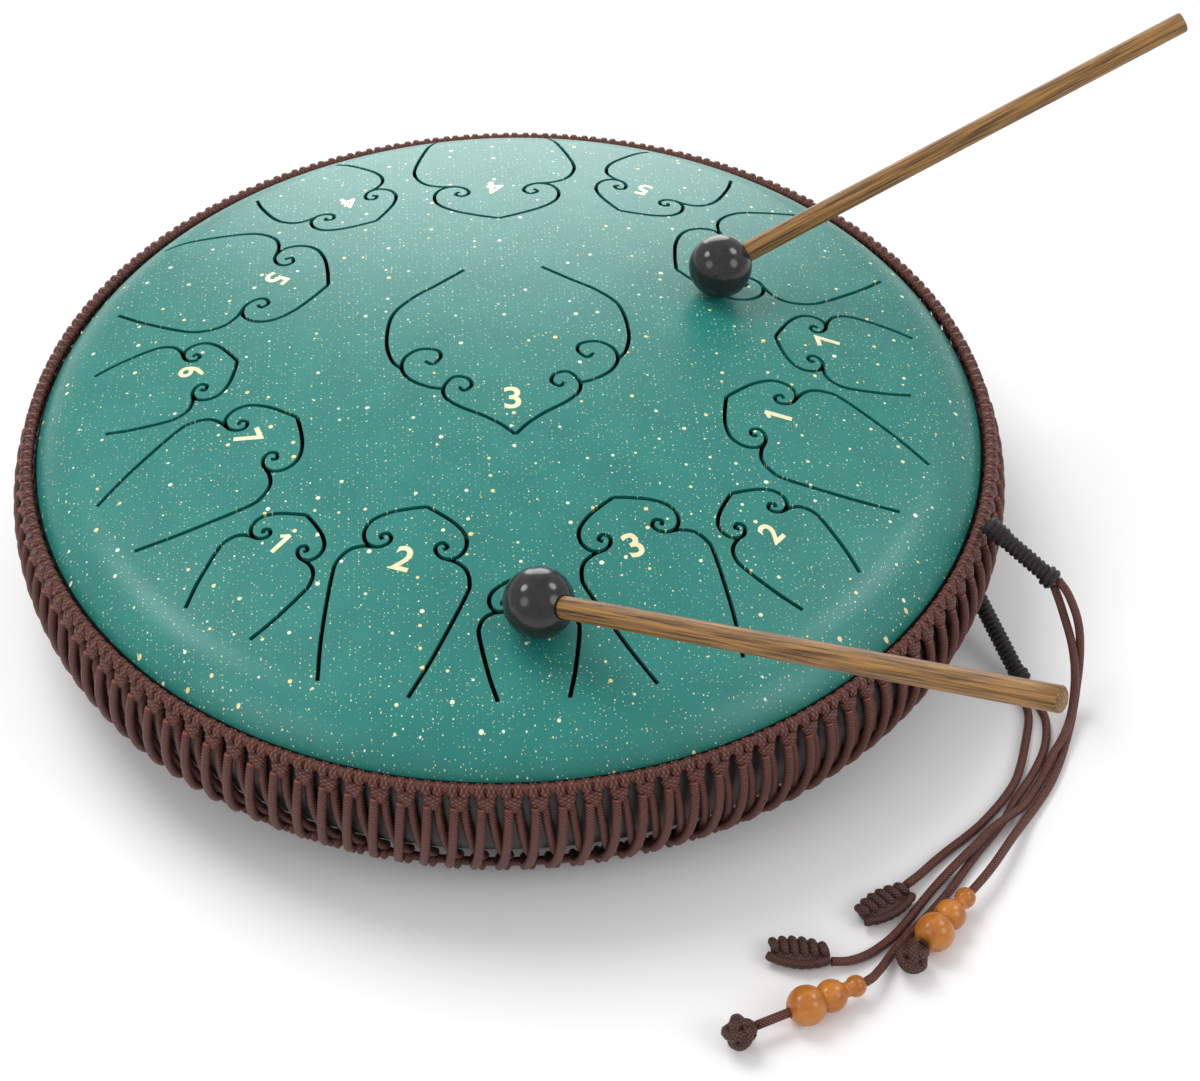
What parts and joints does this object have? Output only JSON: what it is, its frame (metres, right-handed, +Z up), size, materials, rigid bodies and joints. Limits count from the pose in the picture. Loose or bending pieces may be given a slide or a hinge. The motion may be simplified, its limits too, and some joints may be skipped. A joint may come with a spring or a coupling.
{
  "type": "steel tongue drum",
  "caption": "Round steel tongue drum: low domed body with scroll-cut tongues, knotted rope net round the side, rubber feet, sound port below, cord tassel with wooden beads, and two mallets",
  "frame": {"origin": "centre of the round sound port, in the outer face of the bottom plate; the feet stand on the plane 8 mm below it", "axes": "+Z up along the drum axis, +X to the player's right, which is the way the mallets and the tassel lie, and -Y the front, where the high 3 is"},
  "size_m": [0.435, 0.4257, 0.1736],
  "materials": {
    "teal_paint": "satin teal baking paint with fine pale and gold speckle",
    "black_paint": "satin near-black paint",
    "foot_rubber": "matt",
    "brown_cord": "braided satin cord with a slight sheen",
    "dark_cord": "braided satin cord, knotted tightly",
    "black_cord": "thin cord wound closely",
    "bead_wood": "turned and varnished",
    "ball_rubber": "smooth, half gloss",
    "stick_wood": "oiled, with dark straight grain"
  },
  "bodies": {
    "drum": {"top_shell": "teal_paint", "bottom_shell": "black_paint", "foot_1": "foot_rubber", "foot_2": "foot_rubber", "foot_3": "foot_rubber", "net_top_cord": "brown_cord", "net_top_wraps": "brown_cord", "net_left_legs": "brown_cord", "net_right_legs": "brown_cord", "net_bottom_cord": "brown_cord", "net_bottom_loops": "brown_cord", "sleeve_1": "black_cord", "sleeve_2": "black_cord", "cord_1": "brown_cord", "cord_2": "brown_cord", "cord_3": "brown_cord", "cord_4": "brown_cord", "leaf_knot_a": "dark_cord", "leaf_knot_b": "dark_cord", "ball_knot_1": "brown_cord", "ball_knot_2": "brown_cord"},
    "mallet_1": {"mallet_1_ball": "ball_rubber", "mallet_1_stick": "stick_wood"},
    "mallet_2": {"mallet_2_ball": "ball_rubber", "mallet_2_stick": "stick_wood"},
    "bead_1": {"gourd_bead_1": "bead_wood"},
    "bead_2": {"gourd_bead_2": "bead_wood"}
  },
  "joints": [
    {"name": "mallet_1_lift", "type": "slide", "parent": "drum", "child": "mallet_1", "axis": [0, 0, 1], "range_m": [0, 0.15]},
    {"name": "mallet_2_lift", "type": "slide", "parent": "drum", "child": "mallet_2", "axis": [0, 0, 1], "range_m": [0, 0.15]},
    {"name": "bead_1_slide", "type": "slide", "parent": "drum", "child": "bead_1", "axis": [0.7071, 0.7071, 0], "range_m": [0, 0.01]},
    {"name": "bead_2_slide", "type": "slide", "parent": "drum", "child": "bead_2", "axis": [-0.9415, -0.3371, 0], "range_m": [0, 0.011]}
  ]
}
